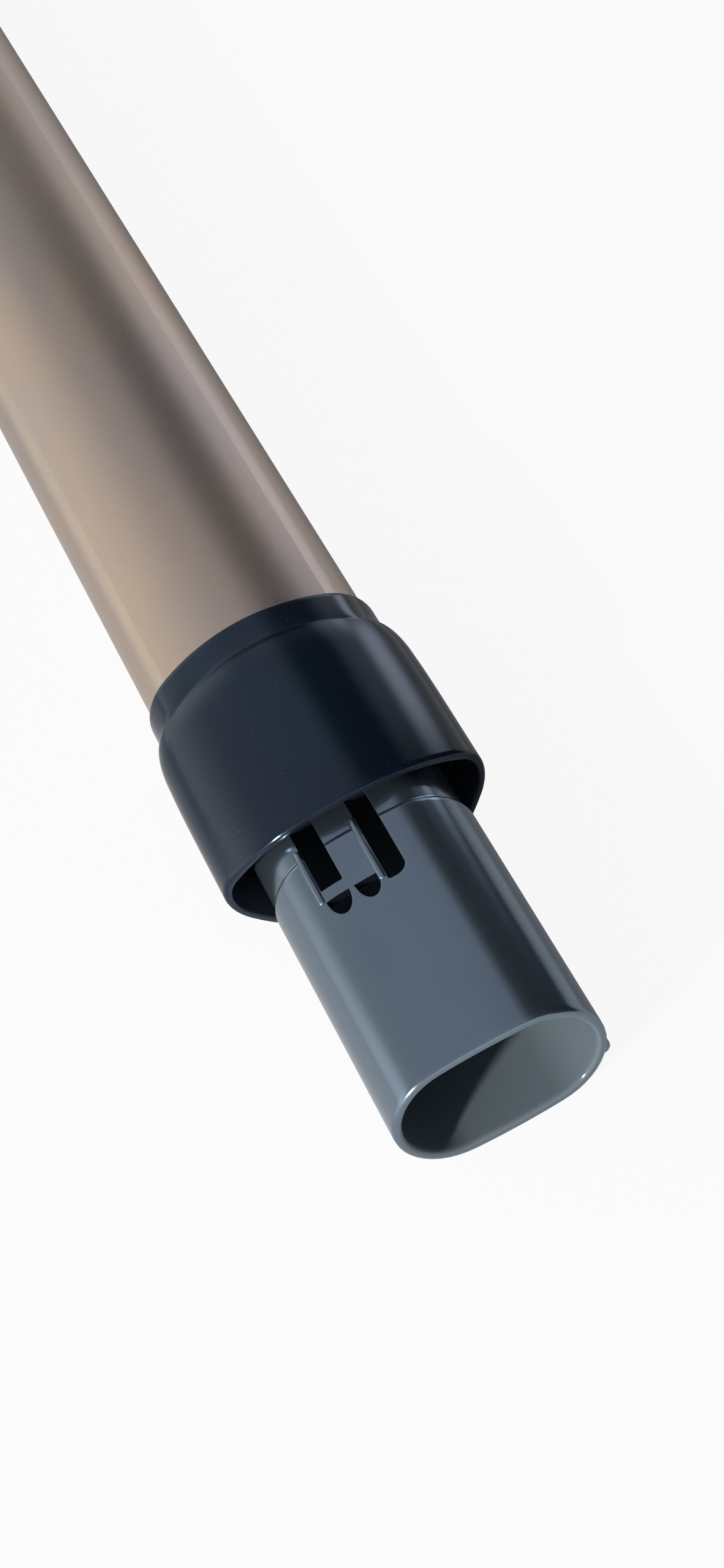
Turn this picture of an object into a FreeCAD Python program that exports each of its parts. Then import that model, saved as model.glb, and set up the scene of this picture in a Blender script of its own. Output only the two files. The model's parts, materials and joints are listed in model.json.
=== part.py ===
"""Telescopic vacuum wand with oval tubes, a floor-end spigot and a handle-end socket.

The wand lies on its broad side. +X points to the floor end (the mouth of the spigot), +Y is across
the oval's width and +Z is up out of the face with the latch slots. Lengths along the wand are
stations, in millimetres from the mouth. Heights inside functions count from the wand's axis.
"""
import FreeCAD, Part
import math
import os

# Oval sections. The tube drives the collar, the spigot and the housing. A crown is how far an oval's
# half height exceeds the radius of its narrow ends.
TUBE_HALF_WIDTH = 24.2
TUBE_HALF_HEIGHT = 15.4
TUBE_CROWN = 3.4
TUBE_WALL = 1.0
INNER_WALL = 0.9
COLLAR_PROUD_SIDE = 3.9
COLLAR_PROUD_BROAD = 1.6
COLLAR_CROWN = 8.0
NECK_PROUD = 1.2
SKIRT_WALL = 1.6
SKIRT_ROOM_SIDE = 5.4
SKIRT_ROOM_BROAD = 1.9
SPIGOT_CROWN = 0.3
SPIGOT_WALL = 2.0
HOUSING_WIDER = 2.4
SOCKET_WALL = 2.4
STOP_WIDER = 0.5
BEAD_PROUD = 0.5

# Clearances
FIXED_FIT = 0.05
SLIDE_FIT = 0.25
SEAL_FIT = 0.15
BUSH_WALL = 1.0
SOCKET_FIT = 0.35
SIDE_PLAY = 0.3
PIN_PLAY = 0.06
RAMP_PLAY = 0.15
END_RING_FIT = 0.4
TOOTH_PLAY = 0.5

# How far shapes that cut run past the material
PAST = 1.0
RIM_PAST = 5.0

# Lengths along the wand
RIM_TO_MOUTH = 68.8
RIM_BOW = 5.6
RECESS_DEPTH = 9.2
FLANGE_LENGTH = 6.0
SHANK_LENGTH = 32.0
SHANK_WALL = 1.8
SPIGOT_RIVET_SETBACK = 16.0
COLLAR_LENGTH = 49.7
NECK_LENGTH = 8.0
NECK_LAP = 0.5
SHOULDER_LENGTH = 9.0
SHOULDER_STEPS = 7
SHOULDER_STEP = 0.12
SHOULDER_SHARE = 0.88
SHOULDER_SWEEP = 1.3
FOOT_GAP = 7.5
RING_LENGTH = 18.0
RING_LIP = 1.5
RING_SNAP_SETBACK = 10.8
RING_SNAP_SHORT = 0.3
SEAL_SETBACK = 3.0
SEAL_WIDTH = 2.5
SEAL_GROOVE = 0.55
NOTCH_PITCH = 27.5
NOTCH_COUNT = 13
FIRST_NOTCH_AFTER_RING = 27.0
TUBE_PAST_LOCK = 40.0
BUSH_BEFORE_LOCK = 22.0
BUSH_FLANGE = 7.0
HOUSING_BEFORE_LOCK = 54.0
HOUSING_PAST_TUBE = 20.0
HOUSING_FOOT_TAPER = 5.0
HOUSING_TOP_TAPER = 6.0
HOUSING_TAPER_DEPTH = 0.7
END_FLANGE = 2.5
END_FLANGE_ROUND = 0.8
WIPER_SETBACK = 4.0
WIPER_WIDTH = 3.0
WIPER_DEPTH = 1.4
SOCKET_GAP = 5.5
SOCKET_SEAT = 20.0
SOCKET_STOP = 2.0
SOCKET_DEPTH = 62.0
BEAD_LENGTH = 5.0

# Mouth, step and guide rib of the spigot
MOUTH_ROUND = 0.6
ROOT_STEP_STATION = 58.5
ROOT_STEP = 0.4
GUIDE_RIB_RADIUS = 1.6
GUIDE_RIB_HEIGHT = 1.3
GUIDE_RIB_START = 0.9
GUIDE_RIB_ROUND = 0.6
GUIDE_RIB_DROP = 0.8

# Latch slots and catch holes in the spigot's upper face
LATCH_CENTRE_Y = -3.0
LATCH_PITCH = 6.0
SLOT_ROOT = 66.0
SHORT_SLOT_WIDTH = 4.7
SHORT_SLOT_END = 48.8
SHORT_SLOT_CORNER = 0.4
LONG_SLOT_WIDTH = 5.9
LONG_SLOT_END = 43.2
LONG_SLOT_CORNER = 2.5
LONG_SLOT_SMALL_CORNER = 0.6
CATCH_FLAT = 46.0
CATCH_DEPTH = 4.5
CATCH_WIDTH = 4.5
LIP_WIDTH = 1.0
LIP_HEIGHT = 0.7
LIP_START = 58.5

# Lock: a sprung bolt that drops into pressed notches of the inner tube
BOLT_WIDTH = 10.0
BOLT_RADIUS = 2.5
BOLT_FIT = 0.2
BOLT_SINK = 1.9
BOLT_LIFT = 2.4
CROSS_PIN_RADIUS = 1.5
CROSS_PIN_OVER_TUBE = 2.4
CARRIER_BASE = 0.8
CARRIER_WALL = 1.2
CARRIER_HALF_LENGTH = 9.0
CARRIER_EAR_REACH = 6.0
CARRIER_EAR_CORNER = 1.5
CARRIER_SADDLE = 3.0
BOLT_ABOVE_PIN = 0.7
RIVET_RADIUS = 2.0
RIVET_HEAD_RADIUS = 3.2
RIVET_TAIL = 0.8
CARRIER_RIVET_RADIUS = 1.2
CARRIER_RIVET_HEAD = 0.6
CARRIER_RIVET_HEAD_RADIUS = 2.04
CARRIER_RIVET_SHORT = 0.1

# Release slider and its housing
SLIDER_TRAVEL = 8.0
CHEEK_WALL = 1.2
CHEEK_REACH = 5.0
CHEEK_CORNER = 1.0
SLIDER_PLATE = 1.5
SLIDER_LAP = 0.5
PLATE_BEFORE_OPENING = 2.5
PLATE_PAST_OPENING = 1.5
LUG_BEFORE_LOCK = 13.0
LUG_WALL = 1.5
LUG_HALF_WIDTH = 4.0
PAD_BEFORE_LOCK = 8.0
PAD_LENGTH = 26.0
PAD_WIDTH = 14.0
PAD_PROUD = 2.2
PAD_CORNER = 2.2
PAD_ROUND = 0.8
PAD_END_PLAY = 0.5
GRIP_MARGIN = 2.0
GRIP_CORNER = 1.0
GRIP_RIBS = 6
GRIP_RIB_MARGIN = 4.0
GRIP_RIB_SIDE_MARGIN = 3.0
GRIP_RIB_HEIGHT = 0.8
GRIP_THICKNESS = 0.9
ROOF = 2.0
OPENING_CORNER = 2.5
CAVITY_SPARE_FRONT = 2.0
CAVITY_SPARE_BACK = 1.0
HUMP_HALF_WIDTH = 14.5
HUMP_ROUND = 6.0
HUMP_FRONT_RISE = 2.0
HUMP_FRONT_ROUND = 14.0
HUMP_BACK_FALL = 3.0
HUMP_BACK_ROUND = 9.0
HUMP_LEAN = 0.6
HUMP_FLARE = 1.0
HUMP_SINK = 2.0
SPRING_LENGTH = 19.0
SPRING_RADIUS = 2.1
SPRING_WIRE = 0.7
SPRING_TURNS = 7
SPRING_OVER_CARRIER = 2.9

# Latch button of the socket
BUTTON_WIDTH = 15.0
BUTTON_THICKNESS = 3.0
BUTTON_FRONT_ARM = 20.0
BUTTON_TAIL_ARM = 17.0
BUTTON_HEIGHT = 5.4
BUTTON_END_PLAY = 0.6
BUTTON_TOP_ROUND = 1.2
BUTTON_FOOT_ROUND = 0.8
BUTTON_DISH = 0.7
BUTTON_DISH_ROUND = 20.0
BUTTON_TIP_FALL = 0.4
HUB_WALL = 1.2
PIVOT_RADIUS = 1.25
PIVOT_HEIGHT = 2.7
PIVOT_TO_TOOTH = 18.0
TOOTH_LENGTH = 2.6
TOOTH_WIDTH = 3.4
TOOTH_BITE = 1.3
TOOTH_SLOPE = 1.0
TOOTH_ROUND = 0.5
TOOTH_HOLE_SPARE = 1.2
BOSS_WALL = 2.2
BOSS_FOOT_RUN = 10.0
BOSS_TOP_RUN = 8.0
BOSS_SINK = 1.5
BOSS_ROUND = 6.0
BOSS_EDGE_ROUND = 2.5
BOSS_FLARE = 2.0
PIVOT_SHORT = 0.5
POCKET_CORNER = 1.5
LATCH_SPRING_RADIUS = 2.0
LATCH_SPRING_WIRE = 0.5
LATCH_SPRING_TURNS = 2.5
LATCH_SPRING_SETBACK = 5.0


def oval(half_width, half_height, crown):
    """Section of an oval: half width, half height and the radius of its narrow ends."""
    return (half_width, half_height, half_height - crown)


def grown(section, by):
    """The same oval, offset outwards by a distance (inwards if negative)."""
    return tuple(size + by for size in section)


# Sections worked out from the driving sizes
TUBE = oval(TUBE_HALF_WIDTH, TUBE_HALF_HEIGHT, TUBE_CROWN)
COLLAR_HALF_WIDTH = TUBE_HALF_WIDTH + COLLAR_PROUD_SIDE
COLLAR_HALF_HEIGHT = TUBE_HALF_HEIGHT + COLLAR_PROUD_BROAD
COLLAR = oval(COLLAR_HALF_WIDTH, COLLAR_HALF_HEIGHT, COLLAR_CROWN)
SPIGOT_HALF_WIDTH = COLLAR_HALF_WIDTH - SKIRT_WALL - SKIRT_ROOM_SIDE
SPIGOT_HALF_HEIGHT = COLLAR_HALF_HEIGHT - SKIRT_WALL - SKIRT_ROOM_BROAD
SPIGOT = oval(SPIGOT_HALF_WIDTH, SPIGOT_HALF_HEIGHT, SPIGOT_CROWN)
BORE = grown(TUBE, -TUBE_WALL)
SPIGOT_BORE = grown(SPIGOT, -SPIGOT_WALL)
SHANK = grown(BORE, -FIXED_FIT)
SHANK_BORE = grown(SHANK, -SHANK_WALL)
RING = grown(BORE, -SLIDE_FIT)
INNER_TUBE = grown(BORE, -FIXED_FIT - BUSH_WALL - SLIDE_FIT)
INNER_BORE_WIDTH = INNER_TUBE[0] - INNER_WALL
HOUSING = (TUBE_HALF_WIDTH + HOUSING_WIDER, COLLAR_HALF_HEIGHT, TUBE[2] + HOUSING_WIDER)
END_BORE = grown(INNER_TUBE, END_RING_FIT)
WIPER_OUTSIDE = grown(INNER_TUBE, WIPER_DEPTH)
SOCKET_CAVITY = grown(SPIGOT, SOCKET_FIT)
SOCKET = grown(SOCKET_CAVITY, SOCKET_WALL)

# Stations worked out from the lengths
RECESS_FLOOR = RIM_TO_MOUTH + RECESS_DEPTH
TUBE_FOOT = RECESS_FLOOR + FLANGE_LENGTH
SHANK_END = TUBE_FOOT + SHANK_LENGTH
SPIGOT_RIVETS = TUBE_FOOT + SPIGOT_RIVET_SETBACK
COLLAR_END = RIM_TO_MOUTH + COLLAR_LENGTH
NECK_START = COLLAR_END - NECK_LENGTH
RING_START = SHANK_END + FOOT_GAP
INNER_FOOT = RING_START + RING_LIP
RING_END = RING_START + RING_LIP + RING_LENGTH
RING_SNAP = INNER_FOOT + RING_SNAP_SETBACK
SEAL_STATION = INNER_FOOT + SEAL_SETBACK
TRAVEL = NOTCH_PITCH * (NOTCH_COUNT - 1)
LOCK = RING_END + FIRST_NOTCH_AFTER_RING + TRAVEL
TUBE_TOP = LOCK + TUBE_PAST_LOCK
BUSH_FOOT = LOCK - BUSH_BEFORE_LOCK
BUSH_TOP = TUBE_TOP + BUSH_FLANGE
WIPER_STATION = BUSH_TOP + WIPER_SETBACK
HOUSING_FOOT = LOCK - HOUSING_BEFORE_LOCK
HOUSING_TOP = TUBE_TOP + HOUSING_PAST_TUBE
SOCKET_FOOT = HOUSING_TOP + END_FLANGE + SOCKET_GAP
SOCKET_RIVETS = SOCKET_FOOT + SOCKET_SEAT / 2
INNER_TOP = SOCKET_FOOT + SOCKET_SEAT
SOCKET_STOP_TOP = INNER_TOP + SOCKET_STOP
WAND_LENGTH = SOCKET_STOP_TOP + SOCKET_DEPTH
MOUTH_X = WAND_LENGTH / 2
AXIS_Z = COLLAR_HALF_HEIGHT

# Heights of the lock, from the axis
BOLT_CENTRE = INNER_TUBE[1] - BOLT_SINK + BOLT_RADIUS
CROSS_PIN_HEIGHT = TUBE_HALF_HEIGHT + CROSS_PIN_OVER_TUBE
BOLT_TOP = CROSS_PIN_HEIGHT + CROSS_PIN_RADIUS + BOLT_ABOVE_PIN
PLATE_FOOT = BOLT_TOP + BOLT_LIFT + SIDE_PLAY
PLATE_TOP = PLATE_FOOT + SLIDER_PLATE
ROOF_FOOT = PLATE_TOP + SIDE_PLAY
HUMP_TOP = ROOF_FOOT + ROOF
CARRIER_INNER_Y = BOLT_WIDTH / 2 + SIDE_PLAY
CARRIER_OUTER_Y = CARRIER_INNER_Y + CARRIER_WALL
CHEEK_INNER_Y = CARRIER_OUTER_Y + SIDE_PLAY
CHEEK_OUTER_Y = CHEEK_INNER_Y + CHEEK_WALL
CARRIER_FOOT = TUBE_HALF_HEIGHT
CARRIER_FLOOR = CARRIER_FOOT + CARRIER_BASE
CHEEK_FOOT = CARRIER_FLOOR + SIDE_PLAY

# Slider lengths, as stations
PAD_START = LOCK - PAD_BEFORE_LOCK
PAD_END = PAD_START + PAD_LENGTH
OPENING_START = PAD_START - SLIDER_TRAVEL - PAD_END_PLAY
OPENING_END = PAD_END + PAD_END_PLAY
PLATE_START = OPENING_START - PLATE_BEFORE_OPENING
PLATE_END = OPENING_END + SLIDER_TRAVEL + PLATE_PAST_OPENING
SPRING_LUG = LOCK - LUG_BEFORE_LOCK
SPRING_SEAT = SPRING_LUG - SPRING_LENGTH
CAVITY_START = PLATE_START - SLIDER_TRAVEL - CAVITY_SPARE_FRONT
CAVITY_END = PLATE_END + CAVITY_SPARE_BACK
SPRING_HEIGHT = CHEEK_FOOT + SPRING_OVER_CARRIER

# Latch heights and stations
TOOTH_START = SOCKET_STOP_TOP + CATCH_FLAT - TOOTH_PLAY - TOOTH_LENGTH
PIVOT = TOOTH_START + TOOTH_LENGTH / 2 - PIVOT_TO_TOOTH
SOCKET_TOP_Z = SOCKET[1]
PIVOT_Z = SOCKET_TOP_Z + PIVOT_HEIGHT
BUTTON_TOP = SOCKET_TOP_Z + BUTTON_HEIGHT
BUTTON_START = PIVOT - BUTTON_TAIL_ARM
BUTTON_END = PIVOT + BUTTON_FRONT_ARM


def at(station, y=0.0, height=0.0):
    """Point at a distance from the mouth, a place across the width and a height from the axis."""
    return FreeCAD.Vector(MOUTH_X - station, y, AXIS_Z + height)


def oval_wire(station, section):
    """Closed four-arc oval in the plane across the wand."""
    half_width, half_height, end_radius = section
    reach = half_width - end_radius
    broad_radius = (reach ** 2 + half_height ** 2 - end_radius ** 2) / (2 * (half_height - end_radius))
    drop = broad_radius - half_height
    turn = math.atan2(drop, reach)
    y = broad_radius * math.cos(turn)
    z = broad_radius * math.sin(turn) - drop
    arcs = [
        ((y, z), (0, half_height), (-y, z)),
        ((-y, z), (-half_width, 0), (-y, -z)),
        ((-y, -z), (0, -half_height), (y, -z)),
        ((y, -z), (half_width, 0), (y, z)),
    ]
    edges = [Part.Arc(*[at(station, *point) for point in arc]).toShape() for arc in arcs]
    return Part.Wire(edges)


def oval_bar(start, end, section):
    """Solid oval bar between two stations."""
    face = Part.Face(oval_wire(end, section))
    return face.extrude(FreeCAD.Vector(end - start, 0, 0))


def oval_loft(stations):
    """Solid with straight flanks through several ovals, each given as (station, section)."""
    return Part.makeLoft([oval_wire(*pair) for pair in stations], True, True)


def block(start, end, y_low, y_high, low, high):
    """Box between two stations, two places across and two heights."""
    corner = at(end, y_low, low)
    return Part.makeBox(end - start, y_high - y_low, high - low, corner)


def outline(corners, place):
    """Closed wire through corners (u, v, radius), where place turns (u, v) into a point."""
    legs = []
    count = len(corners)
    for i, (u, v, radius) in enumerate(corners):
        here = FreeCAD.Vector(u, v, 0)
        back = (FreeCAD.Vector(*corners[i - 1][:2], 0) - here).normalize()
        ahead = (FreeCAD.Vector(*corners[(i + 1) % count][:2], 0) - here).normalize()
        half = back.getAngle(ahead) / 2
        run = radius / math.tan(half)
        bisector = (back + ahead).normalize() if radius else back
        middle = here + bisector * (radius / math.sin(half) - radius)
        legs.append((here + back * run, middle, here + ahead * run, radius))
    edges = []
    for i, (first, middle, last, radius) in enumerate(legs):
        if radius:
            edges.append(Part.Arc(*[place(p.x, p.y) for p in (first, middle, last)]).toShape())
        onward = legs[(i + 1) % count][0]
        if (onward - last).Length > 1e-6:
            edges.append(Part.LineSegment(place(last.x, last.y), place(onward.x, onward.y)).toShape())
    return Part.Wire(edges)


def plan_prism(corners, low, high):
    """Upright prism from an outline of (station, y, radius) corners."""
    wire = outline(corners, lambda station, y: at(station, y, low))
    return Part.Face(wire).extrude(FreeCAD.Vector(0, 0, high - low))


def rounded_block(start, end, y_centre, half_width, corner, low, high):
    """Upright block between two stations, with rounded upright edges."""
    ends = [(start, -1), (end, -1), (end, 1), (start, 1)]
    return plan_prism([(station, y_centre + side * half_width, corner) for station, side in ends], low, high)


def side_prism(corners, y_low, y_high):
    """Prism across the width from an outline of (station, height, radius) corners."""
    wire = outline(corners, lambda station, height: at(station, y_low, height))
    return Part.Face(wire).extrude(FreeCAD.Vector(0, y_high - y_low, 0))


def end_prism(corners, start, end):
    """Prism along the wand from an outline of (y, height, radius) corners."""
    wire = outline(corners, lambda y, height: at(end, y, height))
    return Part.Face(wire).extrude(FreeCAD.Vector(end - start, 0, 0))


def across_pin(station, height, radius, y_low, y_high):
    """Round pin along Y."""
    return Part.makeCylinder(radius, y_high - y_low, at(station, y_low, height), FreeCAD.Vector(0, 1, 0))


def upright_pin(station, y, radius, low, high):
    """Round pin along Z."""
    return Part.makeCylinder(radius, high - low, at(station, y, low))


def slanted_slot(first, second, radius, y_low, y_high):
    """Slot along the width whose ends are at two (station, height) points."""
    (station_a, height_a), (station_b, height_b) = first, second
    ends = [across_pin(station_a, height_a, radius, y_low, y_high),
            across_pin(station_b, height_b, radius, y_low, y_high)]
    length = math.hypot(station_b - station_a, height_b - height_a)
    rise = (height_b - height_a) / length * radius
    run = (station_b - station_a) / length * radius
    corners = [(station_a - rise, height_a + run, 0), (station_b - rise, height_b + run, 0),
               (station_b + rise, height_b - run, 0), (station_a + rise, height_a - run, 0)]
    return side_prism(corners, y_low, y_high).multiFuse(ends).removeSplitter()


def coil(radius, wire, length, turns):
    """Round-wire compression spring that stands on the origin along Z."""
    pitch = (length - wire) / turns
    path = Part.makeHelix(pitch, length - wire, radius)
    ring = Part.Circle(FreeCAD.Vector(radius, 0, 0), FreeCAD.Vector(0, 1, 0), wire / 2)
    section = Part.Wire(ring.toShape())
    spring = Part.Wire(path.Edges).makePipeShell([section], True, True)
    spring.translate(FreeCAD.Vector(0, 0, wire / 2))
    return spring


def rim_edges(shape, station):
    """Edges that lie wholly in the plane across the wand at a station."""
    x = at(station).x
    return [edge for edge in shape.Edges
            if abs(edge.BoundBox.XMin - x) < 1e-4 and abs(edge.BoundBox.XMax - x) < 1e-4]


def latch_columns():
    """Places across the face of the short slot, the tongue and the long slot."""
    return [LATCH_CENTRE_Y + step * LATCH_PITCH for step in (-1, 0, 1)]


def bolt_window(play, low, high):
    """Opening that the lock bolt passes through."""
    reach = BOLT_RADIUS + play
    return block(LOCK - reach, LOCK + reach, -BOLT_WIDTH / 2 - play, BOLT_WIDTH / 2 + play, low, high)


def side_rivets(station, outer, inside):
    """Two rivets with countersunk heads, flush with the outer oval, one in each narrow end."""
    flush = oval_bar(station - 3 * RIVET_RADIUS, station + 3 * RIVET_RADIUS, outer)
    rivets = []
    for side in (-1, 1):
        outwards = FreeCAD.Vector(0, side, 0)
        tail = at(station, side * (inside - RIVET_TAIL))
        length = outer[0] - inside + RIVET_TAIL + PAST
        shank = Part.makeCylinder(RIVET_RADIUS, length, tail, outwards)
        depth = RIVET_HEAD_RADIUS - RIVET_RADIUS
        seat = at(station, side * (outer[0] - depth))
        head = Part.makeCone(RIVET_RADIUS, RIVET_HEAD_RADIUS + PAST, depth + PAST, seat, outwards)
        rivets.append(shank.fuse(head).common(flush).removeSplitter())
    return rivets


def carrier_rivet_stations():
    """Stations of the two rivets that hold the lock's carrier."""
    offset = (BOLT_RADIUS + BOLT_FIT + CARRIER_HALF_LENGTH) / 2
    return [LOCK - offset, LOCK + offset]


def outer_tube():
    """Anodised lower tube with the lock's window and the rivet holes."""
    tube = oval_bar(TUBE_FOOT, TUBE_TOP, TUBE).cut(oval_bar(TUBE_FOOT - PAST, TUBE_TOP + PAST, BORE))
    cuts = [bolt_window(BOLT_FIT + SIDE_PLAY, 0, TUBE_HALF_HEIGHT + PAST)]
    cuts += [upright_pin(station, 0, CARRIER_RIVET_RADIUS, 0, TUBE_HALF_HEIGHT + PAST)
             for station in carrier_rivet_stations()]
    cuts += side_rivets(SPIGOT_RIVETS, TUBE, SHANK_BORE[0])
    return tube.cut(cuts)


def latch_cuts():
    """Short slot, long slot and two half-moon catch holes, through the upper wall."""
    short_y, tongue_y, long_y = latch_columns()
    low, high = SPIGOT_HALF_HEIGHT / 2, SPIGOT_HALF_HEIGHT + ROOT_STEP + LIP_HEIGHT + PAST
    short_half = SHORT_SLOT_WIDTH / 2
    long_half = LONG_SLOT_WIDTH / 2
    cuts = [
        plan_prism([(SHORT_SLOT_END, short_y - short_half, SHORT_SLOT_CORNER),
                    (SLOT_ROOT, short_y - short_half, 0), (SLOT_ROOT, short_y + short_half, 0),
                    (SHORT_SLOT_END, short_y + short_half, SHORT_SLOT_CORNER)], low, high),
        plan_prism([(LONG_SLOT_END, long_y - long_half, LONG_SLOT_SMALL_CORNER),
                    (SLOT_ROOT, long_y - long_half, 0), (SLOT_ROOT, long_y + long_half, 0),
                    (LONG_SLOT_END, long_y + long_half, LONG_SLOT_CORNER)], low, high),
    ]
    for y in (short_y, tongue_y):
        left = at(CATCH_FLAT, y - CATCH_WIDTH / 2, low)
        right = at(CATCH_FLAT, y + CATCH_WIDTH / 2, low)
        crown = at(CATCH_FLAT - CATCH_DEPTH, y, low)
        wire = Part.Wire([Part.Arc(left, crown, right).toShape(), Part.LineSegment(right, left).toShape()])
        cuts.append(Part.Face(wire).extrude(FreeCAD.Vector(0, 0, high - low)))
    return cuts


def slot_lips():
    """Small raised lips along the left edge of both slots, that run up to the collar's rim."""
    short_y, _, long_y = latch_columns()
    lips = []
    for y in (short_y - SHORT_SLOT_WIDTH / 2, long_y - LONG_SLOT_WIDTH / 2):
        end = RIM_TO_MOUTH - RIM_BOW - SIDE_PLAY
        bar = block(LIP_START, end, y - LIP_WIDTH, y, SPIGOT_HALF_HEIGHT / 2, SPIGOT_HALF_HEIGHT * 2)
        lips.append(bar.common(oval_bar(LIP_START, end, grown(SPIGOT, ROOT_STEP + LIP_HEIGHT))))
    return lips


def guide_rib():
    """Half-round rib along the spigot's narrow end, which keys it in the floor head's socket."""
    centre = at(RECESS_FLOOR, SPIGOT_HALF_WIDTH + GUIDE_RIB_HEIGHT - GUIDE_RIB_RADIUS, -GUIDE_RIB_DROP)
    length = RECESS_FLOOR - GUIDE_RIB_START
    bar = Part.makeCylinder(GUIDE_RIB_RADIUS, length, centre, FreeCAD.Vector(1, 0, 0))
    return bar.makeFillet(GUIDE_RIB_ROUND, rim_edges(bar, GUIDE_RIB_START))


def spigot():
    """Oval plug of the floor end: open tube, latch slots, flange and the shank inside the tube."""
    body = oval_bar(0, RECESS_FLOOR, SPIGOT)
    body = body.makeFillet(MOUTH_ROUND, rim_edges(body, 0))
    root = oval_bar(ROOT_STEP_STATION, RECESS_FLOOR, grown(SPIGOT, ROOT_STEP))
    flange = oval_bar(RECESS_FLOOR, TUBE_FOOT, TUBE)
    shank = oval_bar(TUBE_FOOT, SHANK_END, SHANK)
    body = body.multiFuse([root, flange, shank, guide_rib()] + slot_lips())
    bore = oval_bar(-PAST, RECESS_FLOOR, SPIGOT_BORE)
    taper = oval_loft([(RECESS_FLOOR, SPIGOT_BORE), (TUBE_FOOT, SHANK_BORE)])
    wide = oval_bar(TUBE_FOOT, SHANK_END + PAST, SHANK_BORE)
    body = body.cut([bore.multiFuse([taper, wide])] + latch_cuts())
    return body.cut(side_rivets(SPIGOT_RIVETS, TUBE, SHANK_BORE[0]))


def rim_cutter():
    """Everything beyond the collar's rim, which bows towards the mouth in the middle."""
    radius = (COLLAR_HALF_WIDTH ** 2 + RIM_BOW ** 2) / (2 * RIM_BOW)
    side = COLLAR_HALF_WIDTH + RIM_PAST
    top = COLLAR_HALF_HEIGHT + RIM_PAST
    centre = at(RIM_TO_MOUTH - RIM_BOW + radius, 0, -top - PAST)
    kept = Part.makeCylinder(radius, 2 * (top + PAST), centre)
    outside = block(RIM_TO_MOUTH - RIM_BOW - RIM_PAST, RIM_TO_MOUTH + RIM_PAST, -side, side, -top, top)
    return outside.cut(kept)


def lower_collar():
    """Sleeve over the joint of tube and spigot: a low neck, a swept shoulder and a bowed skirt."""
    neck = grown(TUBE, NECK_PROUD)

    def between(share):
        return tuple(low + (high - low) * share for low, high in zip(neck, COLLAR))

    skirt_start = RIM_TO_MOUTH - RIM_BOW - PAST
    stations = []
    for i in range(SHOULDER_STEPS + 1):
        turn = i / SHOULDER_STEPS * math.pi / 2
        share = SHOULDER_STEP + (SHOULDER_SHARE - SHOULDER_STEP) * math.sin(turn) ** SHOULDER_SWEEP
        stations.append((NECK_START - SHOULDER_LENGTH * (1 - math.cos(turn)), between(share)))
    sleeve = oval_loft(stations + [(skirt_start, COLLAR)])
    ring = oval_bar(NECK_START - NECK_LAP, COLLAR_END, neck)
    ring = ring.makeFillet(MOUTH_ROUND, rim_edges(ring, COLLAR_END))
    body = sleeve.fuse(ring)
    hollow = oval_bar(skirt_start - PAST, RECESS_FLOOR, grown(COLLAR, -SKIRT_WALL))
    bore = oval_bar(RECESS_FLOOR, COLLAR_END + PAST, grown(TUBE, FIXED_FIT))
    return body.cut([hollow, bore, rim_cutter()])


def spigot_rivets():
    """Two flush rivets that hold the tube on the spigot's shank, under the collar."""
    pins = side_rivets(SPIGOT_RIVETS, TUBE, SHANK_BORE[0])
    return Part.makeCompound(pins)


def notch_bar(extra):
    """Row of rounded bars across the inner tube, one at each stop of the telescope."""
    half = BOLT_WIDTH / 2 + BOLT_FIT + SIDE_PLAY + extra
    radius = BOLT_RADIUS + BOLT_FIT + extra
    bars = []
    for i in range(NOTCH_COUNT):
        station = LOCK - i * NOTCH_PITCH
        bars.append(across_pin(station, BOLT_CENTRE, radius, -half, half))
    return bars


def inner_tube():
    """Sliding upper tube with a row of pressed notches that stay airtight."""
    outside = oval_bar(INNER_FOOT, INNER_TOP, INNER_TUBE).cut(notch_bar(0))
    bore = oval_bar(INNER_FOOT - PAST, INNER_TOP + PAST, grown(INNER_TUBE, -INNER_WALL))
    inside = bore.cut(notch_bar(INNER_WALL))
    tube = outside.cut(inside)
    holes = [across_pin(RING_SNAP, 0, RIVET_RADIUS + FIXED_FIT, -TUBE_HALF_WIDTH, TUBE_HALF_WIDTH)]
    return tube.cut(holes + side_rivets(SOCKET_RIVETS, SOCKET, INNER_BORE_WIDTH))


def seal_groove():
    """Section of the slide ring's groove, from its floor outwards, as a closed band."""
    band = oval_bar(SEAL_STATION, SEAL_STATION + SEAL_WIDTH, grown(RING, PAST))
    floor = oval_bar(SEAL_STATION - PAST, SEAL_STATION + SEAL_WIDTH + PAST, grown(RING, -SEAL_GROOVE))
    return band.cut(floor)


def slide_ring():
    """Plastic ring on the foot of the inner tube: it guides, carries the seal and stops the travel."""
    body = oval_bar(RING_START, RING_END, RING)
    body = body.cut([oval_bar(INNER_FOOT, RING_END + PAST, grown(INNER_TUBE, FIXED_FIT)),
                     oval_bar(RING_START - PAST, INNER_FOOT, grown(INNER_TUBE, -INNER_WALL))])
    snaps = []
    for side in (-1, 1):
        low, high = sorted((side * INNER_BORE_WIDTH, side * (RING[0] - RING_SNAP_SHORT)))
        snaps.append(across_pin(RING_SNAP, 0, RIVET_RADIUS, low, high))
    return body.cut(seal_groove()).multiFuse(snaps).removeSplitter()


def air_seal():
    """Rubber ring in the slide ring's groove."""
    outside = oval_bar(SEAL_STATION, SEAL_STATION + SEAL_WIDTH, grown(BORE, -SEAL_FIT))
    return outside.common(seal_groove())


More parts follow.
